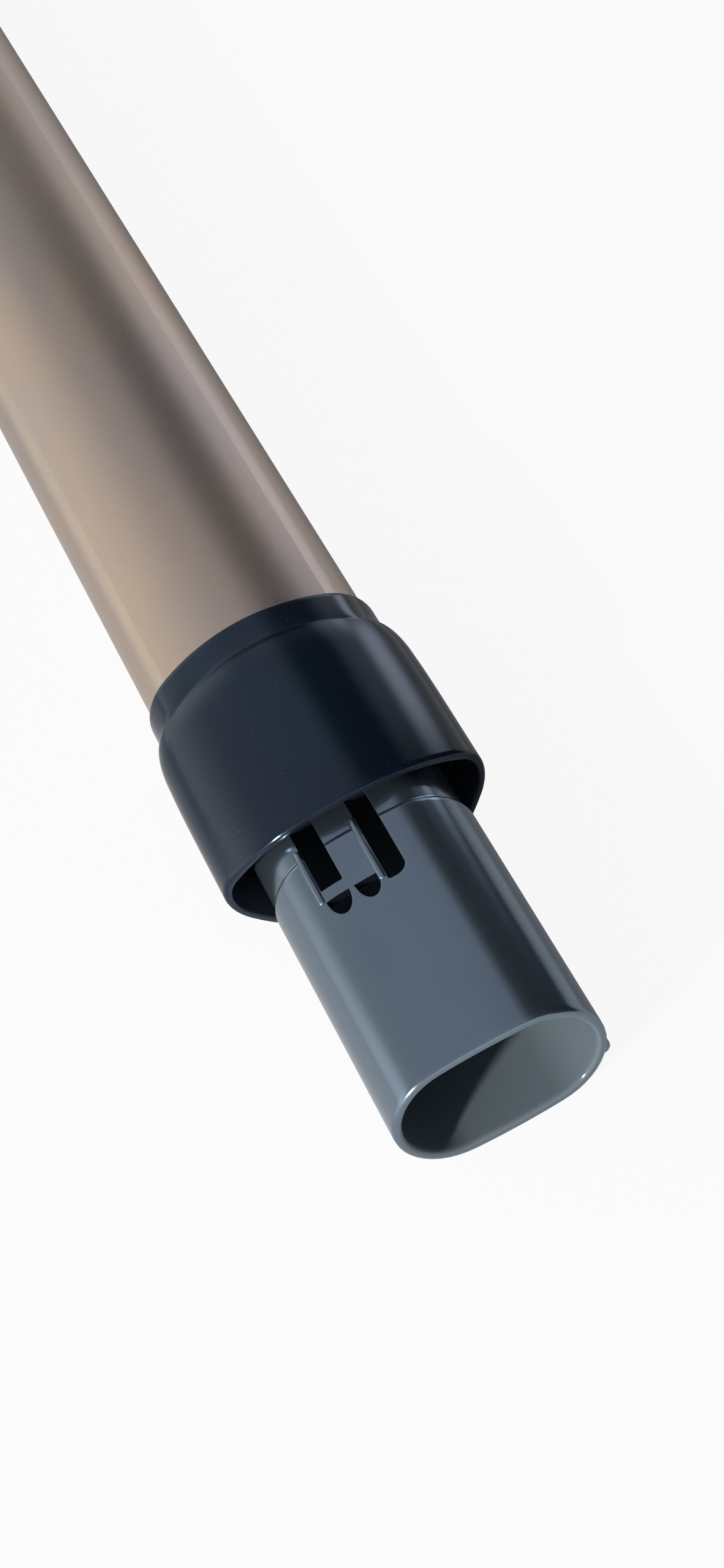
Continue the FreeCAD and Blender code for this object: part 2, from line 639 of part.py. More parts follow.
def guide_bush():
    """Plastic bush in the head of the outer tube, with a flange over the tube's end."""
    body = oval_bar(BUSH_FOOT, TUBE_TOP, grown(BORE, -FIXED_FIT)).fuse(oval_bar(TUBE_TOP, BUSH_TOP, TUBE))
    body = body.cut(oval_bar(BUSH_FOOT - PAST, BUSH_TOP + PAST, grown(INNER_TUBE, SLIDE_FIT)))
    cuts = [bolt_window(BOLT_FIT + SIDE_PLAY, 0, TUBE_HALF_HEIGHT + PAST)]
    cuts += [upright_pin(station, 0, CARRIER_RIVET_RADIUS, 0, TUBE_HALF_HEIGHT + PAST)
             for station in carrier_rivet_stations()]
    return body.cut(cuts)


def release_housing():
    """Moulded sleeve round the tube's head, with the hump that holds the release."""
    small = grown(HOUSING, -HOUSING_TAPER_DEPTH)
    full_start, full_end = HOUSING_FOOT + HOUSING_FOOT_TAPER, HOUSING_TOP - HOUSING_TOP_TAPER
    sleeve = oval_loft([(HOUSING_FOOT, small), (full_start, HOUSING)])
    sleeve = sleeve.multiFuse([oval_bar(full_start, full_end, HOUSING),
                               oval_loft([(full_end, HOUSING), (HOUSING_TOP, small)])])
    start, end = HOUSING_FOOT + HUMP_FRONT_RISE, HOUSING_TOP - HUMP_BACK_FALL
    low = TUBE_HALF_HEIGHT - HUMP_SINK / 2
    side_shape = side_prism([
        (start, 0, 0), (start, low, 0), (SPRING_SEAT - ROOF, HUMP_TOP, HUMP_FRONT_ROUND),
        (CAVITY_END + ROOF, HUMP_TOP, HUMP_BACK_ROUND), (end, low, 0), (end, 0, 0),
    ], -2 * HUMP_HALF_WIDTH, 2 * HUMP_HALF_WIDTH)
    low = TUBE_HALF_HEIGHT - HUMP_SINK
    foot, middle, top = (HUMP_HALF_WIDTH + lean for lean in (3 * HUMP_FLARE, HUMP_FLARE, -HUMP_LEAN))
    end_shape = end_prism([
        (-foot, 0, 0), (-middle, low, 0), (-top, HUMP_TOP, HUMP_ROUND),
        (top, HUMP_TOP, HUMP_ROUND), (middle, low, 0), (foot, 0, 0),
    ], HOUSING_FOOT, HOUSING_TOP)
    body = sleeve.fuse(side_shape.common(end_shape))
    room = CHEEK_OUTER_Y + SIDE_PLAY
    spring_room = SPRING_RADIUS + SPRING_WIRE / 2 + SIDE_PLAY
    cuts = [
        oval_bar(HOUSING_FOOT - PAST, HOUSING_TOP + PAST, grown(TUBE, FIXED_FIT)),
        block(CAVITY_START, CAVITY_END, -room, room, 0, ROOF_FOOT),
        block(SPRING_SEAT, CAVITY_START + PAST, -spring_room, spring_room, 0, SPRING_HEIGHT + spring_room),
        rounded_block(OPENING_START, OPENING_END, 0, PAD_WIDTH / 2 + SIDE_PLAY, OPENING_CORNER,
                      ROOF_FOOT - PAST, HUMP_TOP + PAST),
    ]
    return body.cut(cuts)


def end_ring():
    """Ring that closes the housing's upper end and holds the guide bush in place."""
    plug = oval_bar(BUSH_TOP, HOUSING_TOP, TUBE)
    flange = oval_bar(HOUSING_TOP, HOUSING_TOP + END_FLANGE, grown(HOUSING, -HOUSING_TAPER_DEPTH))
    flange = flange.makeFillet(END_FLANGE_ROUND, rim_edges(flange, HOUSING_TOP + END_FLANGE))
    body = plug.fuse(flange).cut(oval_bar(BUSH_TOP - PAST, HOUSING_TOP + END_FLANGE + PAST, END_BORE))
    return body.cut(oval_bar(WIPER_STATION, WIPER_STATION + WIPER_WIDTH, WIPER_OUTSIDE))


def wiper_seal():
    """Felt ring that wipes the inner tube."""
    end = WIPER_STATION + WIPER_WIDTH
    bore = oval_bar(WIPER_STATION - PAST, end + PAST, grown(INNER_TUBE, SEAL_FIT))
    return oval_bar(WIPER_STATION, end, WIPER_OUTSIDE).cut(bore)


def lock_carrier():
    """Folded steel frame on the tube that guides the bolt straight up and down."""
    start, end = LOCK - CARRIER_HALF_LENGTH, LOCK + CARRIER_HALF_LENGTH
    foot = CARRIER_FOOT - CARRIER_SADDLE
    base = block(start, end, -CARRIER_OUTER_Y, CARRIER_OUTER_Y, foot, CARRIER_FLOOR)
    top = PLATE_FOOT - SIDE_PLAY
    front, back = LOCK - CARRIER_EAR_REACH, LOCK + CARRIER_EAR_REACH
    ears = []
    for side in (-1, 1):
        low_y, high_y = sorted((side * CARRIER_INNER_Y, side * CARRIER_OUTER_Y))
        ears.append(side_prism([(front, foot, 0), (front, top, CARRIER_EAR_CORNER),
                                (back, top, CARRIER_EAR_CORNER), (back, foot, 0)], low_y, high_y))
    body = base.multiFuse(ears).cut(oval_bar(start - PAST, end + PAST, grown(TUBE, FIXED_FIT)))
    cuts = [bolt_window(BOLT_FIT, 0, CARRIER_FLOOR + PAST)]
    cuts.append(slanted_slot((LOCK, CROSS_PIN_HEIGHT), (LOCK, CROSS_PIN_HEIGHT + BOLT_LIFT),
                             CROSS_PIN_RADIUS + RAMP_PLAY, -CARRIER_OUTER_Y - PAST, CARRIER_OUTER_Y + PAST))
    cuts += [upright_pin(station, 0, CARRIER_RIVET_RADIUS, 0, CARRIER_FLOOR + PAST)
             for station in carrier_rivet_stations()]
    return body.cut(cuts)


def carrier_rivets():
    """Two small rivets through carrier, tube and bush."""
    rivets = []
    tail = INNER_TUBE[1] + SLIDE_FIT + CARRIER_RIVET_SHORT
    for station in carrier_rivet_stations():
        shank = upright_pin(station, 0, CARRIER_RIVET_RADIUS, tail, CARRIER_FLOOR)
        top = CARRIER_FLOOR + CARRIER_RIVET_HEAD
        head = upright_pin(station, 0, CARRIER_RIVET_HEAD_RADIUS, CARRIER_FLOOR, top)
        rivets.append(shank.fuse(head))
    return Part.makeCompound(rivets)


def lock_bolt():
    """Steel bolt with a rounded nose that sits in a notch of the inner tube."""
    half = BOLT_WIDTH / 2
    nose = across_pin(LOCK, BOLT_CENTRE, BOLT_RADIUS, -half, half)
    shaft = block(LOCK - BOLT_RADIUS, LOCK + BOLT_RADIUS, -half, half, BOLT_CENTRE, BOLT_TOP)
    hole = across_pin(LOCK, CROSS_PIN_HEIGHT, CROSS_PIN_RADIUS, -half - PAST, half + PAST)
    return shaft.fuse(nose).cut(hole).removeSplitter()


def cross_pin():
    """Pin through the bolt that rides in the slider's slanted slots."""
    return across_pin(LOCK, CROSS_PIN_HEIGHT, CROSS_PIN_RADIUS, -CHEEK_OUTER_Y, CHEEK_OUTER_Y)


def release_slider():
    """Thumb slider: a plate under the housing's roof, two ramp cheeks, a spring lug and the pad."""
    plate = block(PLATE_START, PLATE_END, -CHEEK_OUTER_Y, CHEEK_OUTER_Y, PLATE_FOOT, PLATE_TOP)
    top = HUMP_TOP + PAD_PROUD
    pad = rounded_block(PAD_START, PAD_END, 0, PAD_WIDTH / 2, PAD_CORNER, PLATE_TOP - SLIDER_LAP, top)
    pad = pad.makeFillet(PAD_ROUND, [edge for edge in pad.Edges if edge.BoundBox.ZMin > AXIS_Z + top - 1e-4])
    ramp_low = (LOCK, CROSS_PIN_HEIGHT)
    ramp_high = (LOCK + SLIDER_TRAVEL, CROSS_PIN_HEIGHT + BOLT_LIFT)
    radius = CROSS_PIN_RADIUS + RAMP_PLAY
    front, back = LOCK - CHEEK_REACH, LOCK + SLIDER_TRAVEL + CHEEK_REACH
    lap = PLATE_FOOT + SLIDER_LAP
    cheeks = []
    for side in (-1, 1):
        low_y, high_y = sorted((side * CHEEK_INNER_Y, side * CHEEK_OUTER_Y))
        cheek = side_prism([(front, CHEEK_FOOT, CHEEK_CORNER), (front, lap, 0), (back, lap, 0),
                            (back, CHEEK_FOOT + CHEEK_CORNER, CHEEK_CORNER),
                            (LOCK + CHEEK_REACH, CHEEK_FOOT, CHEEK_CORNER)], low_y, high_y)
        cheeks.append(cheek.cut(slanted_slot(ramp_low, ramp_high, radius, low_y - PAST, high_y + PAST)))
    lug = block(SPRING_LUG, SPRING_LUG + LUG_WALL, -LUG_HALF_WIDTH, LUG_HALF_WIDTH, CHEEK_FOOT, lap)
    seat = grip_sheet(0, top - GRIP_THICKNESS, top + PAST)
    return plate.multiFuse([pad, lug] + cheeks).cut(seat).removeSplitter()


def grip_sheet(shrink, low, high):
    """The grip inlay of the thumb pad, smaller all round by a play, between two heights."""
    margin = GRIP_MARGIN + shrink
    half = PAD_WIDTH / 2 - margin
    return rounded_block(PAD_START + margin, PAD_END - margin, 0, half, GRIP_CORNER, low, high)


def slider_grip():
    """Soft ribbed inlay of the thumb pad."""
    foot = HUMP_TOP + PAD_PROUD - GRIP_THICKNESS
    top = foot + GRIP_THICKNESS
    sheet = grip_sheet(FIXED_FIT, foot, top)
    ribs = []
    pitch = (PAD_LENGTH - 2 * GRIP_RIB_MARGIN) / (GRIP_RIBS - 1)
    half = PAD_WIDTH / 2 - GRIP_RIB_SIDE_MARGIN
    for i in range(GRIP_RIBS):
        station = PAD_START + GRIP_RIB_MARGIN + i * pitch
        ribs.append(across_pin(station, top, GRIP_RIB_HEIGHT, -half, half))
    return sheet.multiFuse(ribs).removeSplitter()


def slider_spring():
    """Compression spring between the housing and the slider's lug."""
    spring = coil(SPRING_RADIUS, SPRING_WIRE, SPRING_LENGTH - 2 * FIXED_FIT, SPRING_TURNS)
    spring.rotate(FreeCAD.Vector(0, 0, 0), FreeCAD.Vector(0, 1, 0), 90)
    spring.translate(at(SPRING_LUG - FIXED_FIT, 0, SPRING_HEIGHT))
    return spring


def latch_boss():
    """The socket's raised boss round the latch button."""
    spare = BOSS_WALL + BUTTON_END_PLAY
    start, end = BUTTON_START - spare, BUTTON_END + spare
    low = SOCKET_TOP_Z - BOSS_SINK
    half = BUTTON_WIDTH / 2 + SIDE_PLAY + BOSS_WALL
    side_shape = side_prism([
        (start - BOSS_FOOT_RUN, 0, 0), (start - BOSS_FOOT_RUN, low, 0), (start, BUTTON_TOP, BOSS_ROUND),
        (end, BUTTON_TOP, BOSS_ROUND), (end + BOSS_TOP_RUN, low, 0), (end + BOSS_TOP_RUN, 0, 0),
    ], LATCH_CENTRE_Y - 2 * half, LATCH_CENTRE_Y + 2 * half)
    end_shape = end_prism([
        (LATCH_CENTRE_Y - half - BOSS_FLARE, 0, 0), (LATCH_CENTRE_Y - half, BUTTON_TOP, BOSS_EDGE_ROUND),
        (LATCH_CENTRE_Y + half, BUTTON_TOP, BOSS_EDGE_ROUND), (LATCH_CENTRE_Y + half + BOSS_FLARE, 0, 0),
    ], SOCKET_FOOT, WAND_LENGTH)
    return side_shape.common(end_shape)


def latch_pin(play, reach):
    """The latch button's pin, or the hole for it, with a play all round and a reach past the button."""
    half = BUTTON_WIDTH / 2 + reach
    return across_pin(PIVOT, PIVOT_Z, PIVOT_RADIUS + play, LATCH_CENTRE_Y - half, LATCH_CENTRE_Y + half)


def socket_body():
    """Handle-end socket: seat for the inner tube, stop, oval cavity and the latch boss."""
    body = oval_bar(SOCKET_FOOT, WAND_LENGTH, SOCKET)
    bead_start = WAND_LENGTH - BEAD_LENGTH
    bead = oval_bar(bead_start, WAND_LENGTH, grown(SOCKET, BEAD_PROUD))
    bead = bead.makeFillet(BEAD_PROUD * 0.8, rim_edges(bead, bead_start) + rim_edges(bead, WAND_LENGTH))
    body = body.multiFuse([bead, latch_boss()])
    stop_bore = (SPIGOT_BORE[0] + STOP_WIDER, SPIGOT_BORE[1], SPIGOT_BORE[2])
    cuts = [
        oval_bar(SOCKET_FOOT - PAST, INNER_TOP, grown(INNER_TUBE, FIXED_FIT)),
        oval_bar(INNER_TOP - PAST, SOCKET_STOP_TOP + PAST, stop_bore),
        oval_bar(SOCKET_STOP_TOP, WAND_LENGTH + PAST, SOCKET_CAVITY),
        rounded_block(BUTTON_START - BUTTON_END_PLAY, BUTTON_END + BUTTON_END_PLAY, LATCH_CENTRE_Y,
                      BUTTON_WIDTH / 2 + SIDE_PLAY, POCKET_CORNER, SOCKET_TOP_Z, BUTTON_TOP + PAST),
        latch_pin(0, SIDE_PLAY + BOSS_WALL - PIVOT_SHORT),
    ]
    cuts += [block(TOOTH_START - TOOTH_HOLE_SPARE, TOOTH_START + TOOTH_LENGTH + TOOTH_HOLE_SPARE,
                   y - TOOTH_WIDTH / 2 - TOOTH_PLAY, y + TOOTH_WIDTH / 2 + TOOTH_PLAY,
                   SOCKET_CAVITY[1] / 2, SOCKET_TOP_Z + PAST) for y in latch_columns()[:2]]
    return body.cut(cuts + side_rivets(SOCKET_RIVETS, SOCKET, INNER_BORE_WIDTH))


def latch_button():
    """Rocking button with two teeth that catch in the half-moon holes of a plugged spigot."""
    half = BUTTON_WIDTH / 2
    foot = BUTTON_TOP - BUTTON_THICKNESS
    body = side_prism([(BUTTON_START, foot, BUTTON_FOOT_ROUND), (BUTTON_START, BUTTON_TOP, BUTTON_TOP_ROUND),
                       (PIVOT, BUTTON_TOP - BUTTON_DISH, BUTTON_DISH_ROUND),
                       (BUTTON_END, BUTTON_TOP - BUTTON_TIP_FALL, BUTTON_TOP_ROUND),
                       (BUTTON_END, foot, BUTTON_FOOT_ROUND)], LATCH_CENTRE_Y - half, LATCH_CENTRE_Y + half)
    body = body.common(rounded_block(BUTTON_START, BUTTON_END, LATCH_CENTRE_Y, half, POCKET_CORNER,
                                     0, BUTTON_TOP + PAST))
    tip = SPIGOT_HALF_HEIGHT - TOOTH_BITE
    lap = foot + SLIDER_LAP
    tooth_end = TOOTH_START + TOOTH_LENGTH
    teeth = [side_prism([(TOOTH_START, lap, 0), (TOOTH_START, tip, TOOTH_ROUND),
                         (tooth_end, tip + TOOTH_SLOPE, TOOTH_ROUND), (tooth_end, lap, 0)],
                        y - TOOTH_WIDTH / 2, y + TOOTH_WIDTH / 2) for y in latch_columns()[:2]]
    return body.multiFuse([latch_pin(HUB_WALL, 0)] + teeth).cut(latch_pin(PIN_PLAY, PAST)).removeSplitter()


def latch_pivot_pin():
    """Steel pin that the latch button rocks on."""
    return latch_pin(0, SIDE_PLAY + BOSS_WALL - PIVOT_SHORT)


def latch_spring():
    """Small spring that lifts the button's tail."""
    height = BUTTON_TOP - BUTTON_THICKNESS - SOCKET_TOP_Z - 2 * FIXED_FIT
    spring = coil(LATCH_SPRING_RADIUS, LATCH_SPRING_WIRE, height, LATCH_SPRING_TURNS)
    spring.translate(at(BUTTON_START + LATCH_SPRING_SETBACK, LATCH_CENTRE_Y, SOCKET_TOP_Z + FIXED_FIT))
    return spring


def socket_rivets():
    """Two flush rivets that hold the socket on the inner tube."""
    return Part.makeCompound(side_rivets(SOCKET_RIVETS, SOCKET, INNER_BORE_WIDTH))


PIECES = [
    outer_tube, spigot, lower_collar, spigot_rivets, guide_bush, release_housing, end_ring, wiper_seal,
    lock_carrier, carrier_rivets, lock_bolt, cross_pin, release_slider, slider_grip, slider_spring,
    inner_tube, slide_ring, air_seal, socket_body, socket_rivets, latch_button, latch_pivot_pin, latch_spring,
]


def main():
    os.makedirs("parts", exist_ok=True)
    for piece in PIECES:
        shape = piece()
        shape.exportStep("parts/" + piece.__name__ + ".step")
        print(piece.__name__, len(shape.Solids), round(shape.Volume / 1000, 2), "cm3", shape.isValid())


main()
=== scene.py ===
# %% [markdown]
# # A telescopic vacuum wand
#
# The wand's solids come from CAD as a fixed frame. This file gives them their looks: the studio first,
# then the finishes, and then the pieces whose soft edges and curves CAD leaves plain.

# %% Load the frame
import json
import math

import bmesh
import bpy
from mathutils import Matrix, Vector


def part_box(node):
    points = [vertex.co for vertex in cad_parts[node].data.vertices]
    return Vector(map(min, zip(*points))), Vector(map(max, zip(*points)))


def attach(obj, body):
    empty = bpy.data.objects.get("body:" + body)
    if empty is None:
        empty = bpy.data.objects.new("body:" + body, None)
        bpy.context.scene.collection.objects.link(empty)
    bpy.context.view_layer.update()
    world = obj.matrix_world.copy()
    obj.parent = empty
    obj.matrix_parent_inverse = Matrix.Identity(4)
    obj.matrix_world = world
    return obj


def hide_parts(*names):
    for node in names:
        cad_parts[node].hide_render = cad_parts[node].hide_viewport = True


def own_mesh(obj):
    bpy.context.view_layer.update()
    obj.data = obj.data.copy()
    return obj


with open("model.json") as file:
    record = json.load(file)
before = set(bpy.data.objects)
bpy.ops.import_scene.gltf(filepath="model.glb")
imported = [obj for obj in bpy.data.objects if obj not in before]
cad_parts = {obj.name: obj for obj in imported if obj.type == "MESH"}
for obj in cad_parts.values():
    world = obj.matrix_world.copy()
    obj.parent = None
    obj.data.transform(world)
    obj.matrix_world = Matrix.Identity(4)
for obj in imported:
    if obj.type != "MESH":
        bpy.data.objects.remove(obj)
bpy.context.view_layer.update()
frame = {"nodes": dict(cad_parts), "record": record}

MM = 0.001
nodes = frame["nodes"]


# %% [markdown]
# ## The camera
#
# The photographer stood on the side of the floor end and looked down at the open mouth. Its place was
# found from the outlines of the tube, the collar and the mouth. A camera looks along its own -Z, so its
# matrix is written from the three directions of the picture: right, up and back.

# %% Camera
MOUTH_X = 326 * MM
AXIS_Z = 17 * MM

picture_right = Vector((0.37552716, 0.87792088, -0.29704255))
picture_down = Vector((0.64050589, -0.47747964, -0.60146937))
looking = picture_right.cross(picture_down)
lens = bpy.data.cameras.new("camera")
lens.sensor_width = 36
lens.lens = 69.038
lens.clip_start = 0.01
camera = bpy.data.objects.new("camera", lens)
bpy.context.scene.collection.objects.link(camera)
turned = Matrix((picture_right, -picture_down, -looking)).transposed().to_4x4()
camera.matrix_world = Matrix.Translation((0.63724, -0.01493, 0.44905)) @ turned
bpy.context.scene.camera = camera
print("the camera looks down by", round(math.degrees(math.asin(-looking.z)), 1), "degrees")

# %% [markdown]
# ## Shader maths as expressions
#
# A material is a graph of small nodes. A class that wraps one socket and overloads the operators lets
# the graph be written as ordinary sums, so a finish reads from top to bottom.


# %% The socket class
class Sock:
    """One output socket of a material, with arithmetic that adds Math nodes."""

    def __init__(self, tree, link=None):
        self.tree = tree
        self.link = link

    def make(self, kind, settings=None, values=None, out=0):
        """Adds a node: its settings first, then the values or links of its sockets."""
        made = self.tree.nodes.new(kind)
        for name, setting in (settings or {}).items():
            setattr(made, name, setting)
        for key, value in (values or {}).items():
            if isinstance(value, Sock):
                self.tree.links.new(value.link, made.inputs[key])
            else:
                made.inputs[key].default_value = value
        return Sock(self.tree, made.outputs[out])

    def maths(self, operation, first, second=0.0):
        return self.make("ShaderNodeMath", {"operation": operation}, {0: first, 1: second})

    def vectors(self, operation, first, second=(0, 0, 0), out=0):
        return self.make("ShaderNodeVectorMath", {"operation": operation}, {0: first, 1: second}, out)

    def __add__(self, other):
        return self.maths("ADD", self, other)

    def __radd__(self, other):
        return self.maths("ADD", other, self)

    def __sub__(self, other):
        return self.maths("SUBTRACT", self, other)

    def __rsub__(self, other):
        return self.maths("SUBTRACT", other, self)

    def __mul__(self, other):
        return self.maths("MULTIPLY", self, other)

    def __rmul__(self, other):
        return self.maths("MULTIPLY", other, self)

    def step(self, low, high):
        """0 below low, 1 above high, smooth between; falls instead where low is above high."""
        settings = {"interpolation_type": "SMOOTHSTEP"}
        if low < high:
            return self.make("ShaderNodeMapRange", settings, {0: self, 1: low, 2: high, 3: 0.0, 4: 1.0})
        return self.make("ShaderNodeMapRange", settings, {0: self, 1: high, 2: low, 3: 1.0, 4: 0.0})

    def blend(self, first, second):
        """The first colour where this value is 0, the second where it is 1."""
        return self.make("ShaderNodeMix", {"data_type": "RGBA"}, {0: self, 6: first, 7: second}, out=2)

    def coordinate(self, axis):
        """One of the piece's own coordinates in metres: 0 along the wand, 1 across it, 2 up."""
        place = self.make("ShaderNodeTexCoord", out=3)
        return self.make("ShaderNodeSeparateXYZ", {}, {0: place}, out=axis)

    def outward(self):
        """1 where a surface faces away from the wand's axis, -1 where it faces the axis."""
        place = self.make("ShaderNodeTexCoord", out=3)
        facing = self.make("ShaderNodeTexCoord", out=1)
        from_axis = self.vectors("SUBTRACT", place, (0, 0, AXIS_Z))
        across = self.vectors("MULTIPLY", from_axis, (0, 1, 1))
        return self.vectors("DOT_PRODUCT", self.vectors("NORMALIZE", across), facing, out=1)

    def noise(self, scale, detail=2.0, roughness=0.5, stretch=(1, 1, 1)):
        """Noise on the piece's own coordinates, in metres; stretch lengthens it along an axis."""
        place = self.make("ShaderNodeTexCoord", out=3)
        if stretch != (1, 1, 1):
            shrink = tuple(1 / v for v in stretch)
            place = self.make("ShaderNodeMapping", {}, {0: place, 3: shrink})
        values = {"Vector": place, "Scale": scale, "Detail": detail, "Roughness": roughness}
        return self.make("ShaderNodeTexNoise", {}, values)


# %% Opening and closing a material
def rgb(r, g, b):
    return (r, g, b, 1.0)


def new_material(name):
    """An empty material, and a Sock to start its expressions from."""
    material = bpy.data.materials.new(name)
    material.use_nodes = True
    material.node_tree.nodes.clear()
    return material, Sock(material.node_tree)


def close_material(start, shader):
    """Joins a shader to the material's output."""
    end = start.tree.nodes.new("ShaderNodeOutputMaterial")
    start.tree.links.new(shader.link, end.inputs["Surface"])


def close_surface(start, values):
    """Closes a material with the standard surface shader."""
    close_material(start, start.make("ShaderNodeBsdfPrincipled", {}, values))


# %% [markdown]
# ## The studio
#
# A plain pale floor, a light tent and one key lamp. The floor shows white to the camera, and its grey
# paint underneath keeps the wand's soft shadow.

# %% Floor
FLOOR_SHOWN = 0.92
FLOOR_MIRRORED = 0.12
bpy.ops.object.select_all(action="DESELECT")
bpy.ops.mesh.primitive_plane_add(size=12, location=(0, 0, -0.4 * MM))
floor = bpy.context.object
floor.name = "floor"
material, start = new_material("pale_floor")
seen = start.make("ShaderNodeLightPath", out="Is Camera Ray")
mirrored = start.make("ShaderNodeLightPath", out="Is Glossy Ray")
through = start.make("ShaderNodeLightPath", out="Is Transmission Ray")
shown = seen * FLOOR_SHOWN + mirrored * FLOOR_MIRRORED + through * FLOOR_SHOWN
paint = start.make("ShaderNodeBsdfDiffuse", {}, {"Color": rgb(0.55, 0.55, 0.56)})
glow = start.make("ShaderNodeEmission", {}, {"Color": rgb(1, 1, 1), "Strength": 1.0})
close_material(start, start.make("ShaderNodeMixShader", {}, {0: shown, 1: paint, 2: glow}))
floor.data.materials.append(material)
print("floor at", round(floor.location.z / MM, 1), "mm")

# %% [markdown]
# The tent is a half tunnel over the wand that glows softly. Metal and gloss show only what stands round
# them, so its bands are what makes the tube look like a tube. Seen from the mouth's side, each piece
# mirrors another stretch of the tunnel: the spigot the nearest, then the collar, then the tube. So the
# bands are set stretch by stretch, each by its lean from upright in degrees, with the wand's -Y side
# negative. A lamp for each band could do the same, but its light would fall on the other pieces too.

# %% Light tent
TENT_RADIUS = 1.3
TENT_LENGTH = 5
TENT_FOOT = 0.02
bpy.ops.mesh.primitive_cylinder_add(vertices=96, radius=TENT_RADIUS, depth=TENT_LENGTH,
                                    end_fill_type="NOTHING", rotation=(0, math.pi / 2, 0))
tent = bpy.context.object
tent.name = "light_tent"
bpy.ops.object.transform_apply(location=True, rotation=True, scale=True)
bpy.ops.object.mode_set(mode="EDIT")
bpy.ops.mesh.select_all(action="SELECT")
bpy.ops.mesh.bisect(plane_co=(0, 0, TENT_FOOT), plane_no=(0, 0, 1), clear_inner=True)
bpy.ops.object.mode_set(mode="OBJECT")
tent.visible_camera = False
tent.visible_shadow = False
print("tent faces:", len(tent.data.polygons))

# %% Stretches of the tent
material, start = new_material("tent_glow")
tent.data.materials.append(material)
along = start.coordinate(0)
lean = start.maths("ARCTAN2", start.coordinate(1), start.coordinate(2)) * (180 / math.pi)
tube_zone = along.step(-1.1, -1.2)
past_spigot = along.step(-0.87, -0.92)
spigot_zone = 1 - past_spigot
collar_zone = past_spigot * (1 - tube_zone)
plastic_zone = 1 - tube_zone
near_tube = along.step(-1.5, -1.25) * tube_zone
far_tube = along.step(-1.3, -1.65)
mouth_zone = along.step(-0.75, -0.5)
fading = along.step(-1.15, -2.1)


# %% Bands of light
def band(rise, fall):
    """A stripe of the tent that rises between two leans and falls between two others."""
    return lean.step(*rise) * lean.step(*fall)


level = 0.85 + tube_zone * 0.33 - lean.step(8, 26) * 0.38
# The middle is calmer than the left.
level = level - lean.step(-62, -5) * tube_zone * 0.64 - lean.step(-80, -46) * plastic_zone * 0.44
level = level - lean.step(-80, -88) * collar_zone * 0.5 - lean.step(28, 50) * spigot_zone * 0.03
level = level - band((-30, 0), (58, 44)) * far_tube * 0.3
# The right is bright again, with one strip brighter than the rest.
level = level + lean.step(46, 58) * collar_zone * 0.37 + lean.step(42, 56) * tube_zone * 0.62
level = level + band((60, 64), (73, 69)) * tube_zone * 0.8
level = level + band((66, 76), (90, 80)) * collar_zone * 1.7
level = level - lean.step(80, 95) * tube_zone * 0.2
# Near the collar the tube has two more soft stripes, and near the mouth the spigot has one.
level = level + band((-78, -62), (-8, -30)) * near_tube * 0.24 + band((44, 56), (74, 66)) * near_tube * 0.2
level = level + band((-88, -78), (-58, -66)) * mouth_zone * 0.4
level = start.maths("MAXIMUM", level * (1 - fading * 0.6), 0.03)
cool = lean.step(-60, 0).blend(rgb(1, 1, 1), rgb(0.96, 0.98, 1.12))
hue = (tube_zone * lean.step(-20, -60)).blend(cool, rgb(1.0, 0.95, 0.88))
close_material(start, start.make("ShaderNodeEmission", {}, {"Color": hue, "Strength": level}))
print("tent nodes:", len(material.node_tree.nodes))

# %% World and key lamp
world = bpy.data.worlds.new("studio")
bpy.context.scene.world = world
world.use_nodes = True
world.node_tree.nodes["Background"].inputs["Color"].default_value = rgb(1, 1, 1)
world.node_tree.nodes["Background"].inputs["Strength"].default_value = 0.9

key_from = Vector((0.538, -0.725, 0.43)).normalized()
lamp = bpy.data.lights.new("key", "AREA")
lamp.shape = "DISK"
lamp.size = 0.08
lamp.energy = 14
lamp.color = (1.0, 0.95, 0.88)
key = bpy.data.objects.new("key", lamp)
bpy.context.scene.collection.objects.link(key)
key.location = Vector((0.25, 0, 0.02)) + key_from
key.rotation_mode = "QUATERNION"
key.rotation_quaternion = (-key_from).to_track_quat("-Z", "Y")
bpy.context.scene.view_settings.view_transform = "Standard"
print("key lamp at", [round(v, 2) for v in key.location])

# %% [markdown]
# ## Finishes
#
# Each finish starts from what the real surface is. Anodised aluminium is metal with a fine blasted grain
# that scatters its reflections a little, so its roughness, colour and bump all follow one fine noise.


# %% Anodised aluminium
def anodised(name, warm, cool, roughness):
    """Bead-blasted and anodised: a fine grain that sparkles, and a faint drift between two tints."""
    material, start = new_material(name)
    grain = start.noise(5200, 2.0, 0.6)
    sparkle = start.noise(9000, 1.0, 0.5).step(0.62, 0.78)
    drift = start.noise(38, 3.0, 0.55, (2.5, 1, 1))
    tint = drift.step(0.35, 0.68).blend(warm, cool)
    dark = tuple(v * 0.8 for v in warm[:3]) + (1.0,)
    tint = (grain.step(0.52, 0.3) * 0.45).blend(tint, dark)
    tint = (sparkle * 0.3).blend(tint, rgb(0.95, 0.93, 0.9))
    bump = start.make("ShaderNodeBump", {}, {"Strength": 0.5, "Distance": 0.04 * MM, "Height": grain})
    close_surface(start, {"Base Color": tint, "Metallic": 1.0, "Normal": bump,
                          "Roughness": roughness + (grain - 0.5) * 0.16})
    return material


# %% [markdown]
# Moulded plastic is a body colour under its own gloss, with a very slight ripple from the mould. Its inner
# walls, and walls that face across such as those of its slots, get colours of their own. On the spigot both
# are darker than its outside. Its inner colour is partly the duller core side of the moulding and partly
# painted shade. The walls of its slots and holes are painted near black, as painted shade that keeps the
# openings deep. Which wall is which comes from how far it faces away from the wand's axis. Near the mouth a
# wall that faces along the wand is the lip, and keeps the outer finish. The Bevel node rounds the look of
# edges that are too fine to model.

# %% Moulded plastic
LIP_END = 20 * MM
LIP_FADE = 10 * MM
BROKEN_EDGE = 0.35 * MM


